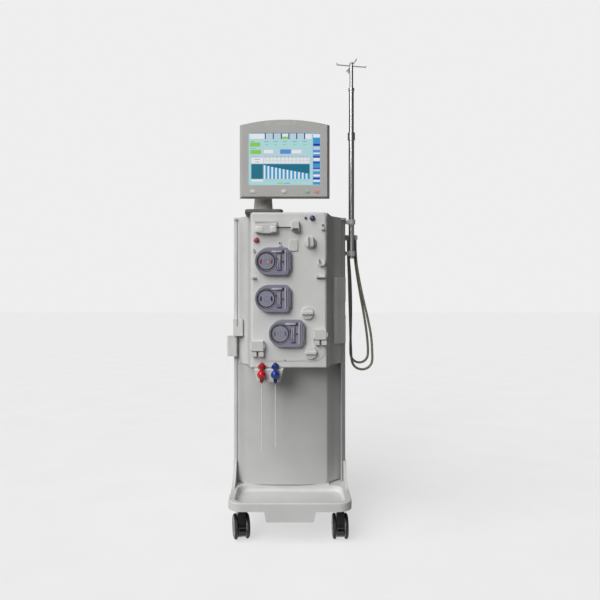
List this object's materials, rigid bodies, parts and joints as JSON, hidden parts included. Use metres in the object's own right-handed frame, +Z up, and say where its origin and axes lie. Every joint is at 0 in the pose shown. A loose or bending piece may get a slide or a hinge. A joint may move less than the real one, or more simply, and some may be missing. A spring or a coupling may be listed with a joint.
{
  "type": "dialysis machine",
  "caption": "Free-standing dialysis machine on casters, with roller pumps on its front, a swivel monitor, concentrate wands, hanging hoses and a telescopic drip pole.",
  "frame": {"origin": "on the floor under the middle of the base", "axes": "+X to the right of someone facing the front, +Y to the back, +Z up"},
  "size_m": [0.6592, 0.676, 2.0485],
  "materials": {
    "moulded_grey": "satin",
    "panel_grey": "satin",
    "pump_lavender": "satin",
    "frame_steel": "satin",
    "caster_black": "satin",
    "monitor_grey": "satin",
    "screen_glass": "gloss",
    "alarm_lens": "satin",
    "key_white": "satin",
    "pole_steel": "brushed",
    "hose_olive": "satin",
    "connector_red": "gloss",
    "connector_blue": "gloss"
  },
  "bodies": {
    "cabinet": {"base_tray": "moulded_grey", "chassis_frame": "frame_steel", "left_side_cover": "moulded_grey", "right_side_cover": "moulded_grey", "rear_cover": "moulded_grey", "top_cover": "moulded_grey", "lower_front_cover": "moulded_grey", "module_surround": "moulded_grey", "front_module_shell": "panel_grey", "push_handle": "moulded_grey", "hydraulic_unit": "frame_steel", "electronics_unit": "frame_steel", "pump_motors": "frame_steel", "pump_housing_1": "pump_lavender", "pump_housing_2": "pump_lavender", "pump_housing_3": "pump_lavender", "syringe_holder": "panel_grey", "front_fittings": "panel_grey", "air_detector": "panel_grey", "line_clamp_bodies": "panel_grey", "wand_holder": "panel_grey", "monitor_foot": "monitor_grey", "pole_brackets": "pole_steel", "pole_lower_tube": "pole_steel", "hose_a": "hose_olive", "hose_b": "hose_olive"},
    "caster_front_left": {"caster_fork_front_left": "caster_black"},
    "wheels_front_left": {"caster_wheels_front_left": "caster_black"},
    "pedal_front_left": {"brake_pedal_front_left": "caster_black"},
    "caster_front_right": {"caster_fork_front_right": "caster_black"},
    "wheels_front_right": {"caster_wheels_front_right": "caster_black"},
    "pedal_front_right": {"brake_pedal_front_right": "caster_black"},
    "caster_rear_left": {"caster_fork_rear_left": "caster_black"},
    "wheels_rear_left": {"caster_wheels_rear_left": "caster_black"},
    "caster_rear_right": {"caster_fork_rear_right": "caster_black"},
    "wheels_rear_right": {"caster_wheels_rear_right": "caster_black"},
    "pump_rotor_1": {"pump_rotor_1": "pump_lavender"},
    "pump_cover_1": {"pump_cover_1": "pump_lavender"},
    "pump_rotor_2": {"pump_rotor_2": "pump_lavender"},
    "pump_cover_2": {"pump_cover_2": "pump_lavender"},
    "pump_rotor_3": {"pump_rotor_3": "pump_lavender"},
    "pump_cover_3": {"pump_cover_3": "pump_lavender"},
    "syringe_drive": {"syringe_drive": "panel_grey"},
    "port_knob_upper": {"port_knob_upper": "panel_grey"},
    "port_knob_lower": {"port_knob_lower": "panel_grey"},
    "clamp_cover_left": {"line_clamp_cover_left": "panel_grey"},
    "clamp_cover_right": {"line_clamp_cover_right": "panel_grey"},
    "wand_red": {"wand_red": "connector_red"},
    "wand_blue": {"wand_blue": "connector_blue"},
    "side_holder": {"side_holder": "moulded_grey"},
    "monitor_neck": {"monitor_neck": "monitor_grey"},
    "monitor": {"monitor_case": "monitor_grey", "monitor_screen": "screen_glass", "alarm_light": "alarm_lens"},
    "monitor_key_1": {"monitor_key_1": "key_white"},
    "monitor_key_2": {"monitor_key_2": "key_white"},
    "monitor_key_3": {"monitor_key_3": "key_white"},
    "monitor_key_4": {"monitor_key_4": "key_white"},
    "pole_middle": {"pole_middle_tube": "pole_steel"},
    "pole_top": {"pole_top_tube": "pole_steel"}
  },
  "joints": [
    {"name": "caster_swivel_front_left", "type": "hinge", "parent": "cabinet", "child": "caster_front_left", "pos_m": [-0.203, -0.228, 0.132], "axis": [0, 0, 1], "continuous": true},
    {"name": "wheel_roll_front_left", "type": "hinge", "parent": "caster_front_left", "child": "wheels_front_left", "pos_m": [-0.19805, -0.24944, 0.05], "axis": [0.9744, 0.225, 0], "continuous": true},
    {"name": "brake_front_left", "type": "hinge", "parent": "caster_front_left", "child": "pedal_front_left", "pos_m": [-0.19063, -0.28159, 0.046], "axis": [0.9744, 0.225, 0], "range_deg": [0, 14]},
    {"name": "caster_swivel_front_right", "type": "hinge", "parent": "cabinet", "child": "caster_front_right", "pos_m": [0.203, -0.228, 0.132], "axis": [0, 0, 1], "continuous": true},
    {"name": "wheel_roll_front_right", "type": "hinge", "parent": "caster_front_right", "child": "wheels_front_right", "pos_m": [0.203, -0.25, 0.05], "axis": [1, 0, 0], "continuous": true},
    {"name": "brake_front_right", "type": "hinge", "parent": "caster_front_right", "child": "pedal_front_right", "pos_m": [0.203, -0.283, 0.046], "axis": [1, 0, 0], "range_deg": [0, 14]},
    {"name": "caster_swivel_rear_left", "type": "hinge", "parent": "cabinet", "child": "caster_rear_left", "pos_m": [-0.203, 0.228, 0.132], "axis": [0, 0, 1], "continuous": true},
    {"name": "wheel_roll_rear_left", "type": "hinge", "parent": "caster_rear_left", "child": "wheels_rear_left", "pos_m": [-0.203, 0.206, 0.05], "axis": [1, 0, 0], "continuous": true},
    {"name": "caster_swivel_rear_right", "type": "hinge", "parent": "cabinet", "child": "caster_rear_right", "pos_m": [0.203, 0.228, 0.132], "axis": [0, 0, 1], "continuous": true},
    {"name": "wheel_roll_rear_right", "type": "hinge", "parent": "caster_rear_right", "child": "wheels_rear_right", "pos_m": [0.203, 0.206, 0.05], "axis": [1, 0, 0], "continuous": true},
    {"name": "rotor_turn_1", "type": "hinge", "parent": "cabinet", "child": "pump_rotor_1", "pos_m": [-0.096, -0.25, 1.122], "axis": [0, -1, 0], "continuous": true},
    {"name": "pump_cover_open_1", "type": "hinge", "parent": "cabinet", "child": "pump_cover_1", "pos_m": [0.001, -0.2493, 1.123], "axis": [0, 0, 1], "range_deg": [0, 95]},
    {"name": "rotor_turn_2", "type": "hinge", "parent": "cabinet", "child": "pump_rotor_2", "pos_m": [-0.096, -0.25, 0.971], "axis": [0, -1, 0], "continuous": true},
    {"name": "pump_cover_open_2", "type": "hinge", "parent": "cabinet", "child": "pump_cover_2", "pos_m": [0.001, -0.2493, 0.972], "axis": [0, 0, 1], "range_deg": [0, 95]},
    {"name": "rotor_turn_3", "type": "hinge", "parent": "cabinet", "child": "pump_rotor_3", "pos_m": [-0.04, -0.25, 0.829], "axis": [0, -1, 0], "continuous": true},
    {"name": "pump_cover_open_3", "type": "hinge", "parent": "cabinet", "child": "pump_cover_3", "pos_m": [0.057, -0.2493, 0.83], "axis": [0, 0, 1], "range_deg": [0, 95]},
    {"name": "syringe_drive_slide", "type": "slide", "parent": "cabinet", "child": "syringe_drive", "axis": [-1, 0, 0], "range_m": [0, 0.048]},
    {"name": "port_knob_turn_upper", "type": "hinge", "parent": "cabinet", "child": "port_knob_upper", "pos_m": [0.071, -0.24, 0.912], "axis": [0, -1, 0], "range_deg": [0, 90]},
    {"name": "port_knob_turn_lower", "type": "hinge", "parent": "cabinet", "child": "port_knob_lower", "pos_m": [0.085, -0.24, 0.75], "axis": [0, -1, 0], "range_deg": [0, 90]},
    {"name": "clamp_cover_open_left", "type": "hinge", "parent": "cabinet", "child": "clamp_cover_left", "pos_m": [-0.1605, -0.248, 0.779], "axis": [0, 0, -1], "range_deg": [0, 90]},
    {"name": "clamp_cover_open_right", "type": "hinge", "parent": "cabinet", "child": "clamp_cover_right", "pos_m": [0.0945, -0.248, 0.826], "axis": [0, 0, -1], "range_deg": [0, 90]},
    {"name": "wand_pull_red", "type": "slide", "parent": "cabinet", "child": "wand_red", "axis": [0, -1, 0], "range_m": [0, 0.06]},
    {"name": "wand_pull_blue", "type": "slide", "parent": "cabinet", "child": "wand_blue", "axis": [0, -1, 0], "range_m": [0, 0.06]},
    {"name": "side_holder_swivel", "type": "hinge", "parent": "cabinet", "child": "side_holder", "pos_m": [-0.236, -0.072, 0.808], "axis": [0, 0, 1], "range_deg": [0, 90]},
    {"name": "monitor_swivel", "type": "hinge", "parent": "cabinet", "child": "monitor_neck", "pos_m": [-0.113, -0.15, 1.341], "axis": [0, 0, 1], "range_deg": [-90, 90]},
    {"name": "monitor_tilt", "type": "hinge", "parent": "monitor_neck", "child": "monitor", "pos_m": [-0.0215, -0.176, 1.53], "axis": [-1, 0, 0], "range_deg": [-5, 20]},
    {"name": "monitor_key_press_1", "type": "slide", "parent": "monitor", "child": "monitor_key_1", "axis": [0, 1, 0], "range_m": [0, 0.0015], "stiffness_N_per_m": 400, "springref_m": -0.0005},
    {"name": "monitor_key_press_2", "type": "slide", "parent": "monitor", "child": "monitor_key_2", "axis": [0, 1, 0], "range_m": [0, 0.0015], "stiffness_N_per_m": 400, "springref_m": -0.0005},
    {"name": "monitor_key_press_3", "type": "slide", "parent": "monitor", "child": "monitor_key_3", "axis": [0, 1, 0], "range_m": [0, 0.0015], "stiffness_N_per_m": 400, "springref_m": -0.0005},
    {"name": "monitor_key_press_4", "type": "slide", "parent": "monitor", "child": "monitor_key_4", "axis": [0, 1, 0], "range_m": [0, 0.0015], "stiffness_N_per_m": 400, "springref_m": -0.0005},
    {"name": "pole_middle_slide", "type": "slide", "parent": "cabinet", "child": "pole_middle", "axis": [0, 0, 1], "range_m": [-0.185, 0.06]},
    {"name": "pole_top_slide", "type": "slide", "parent": "pole_middle", "child": "pole_top", "axis": [0, 0, 1], "range_m": [-0.06, 0.06]}
  ]
}
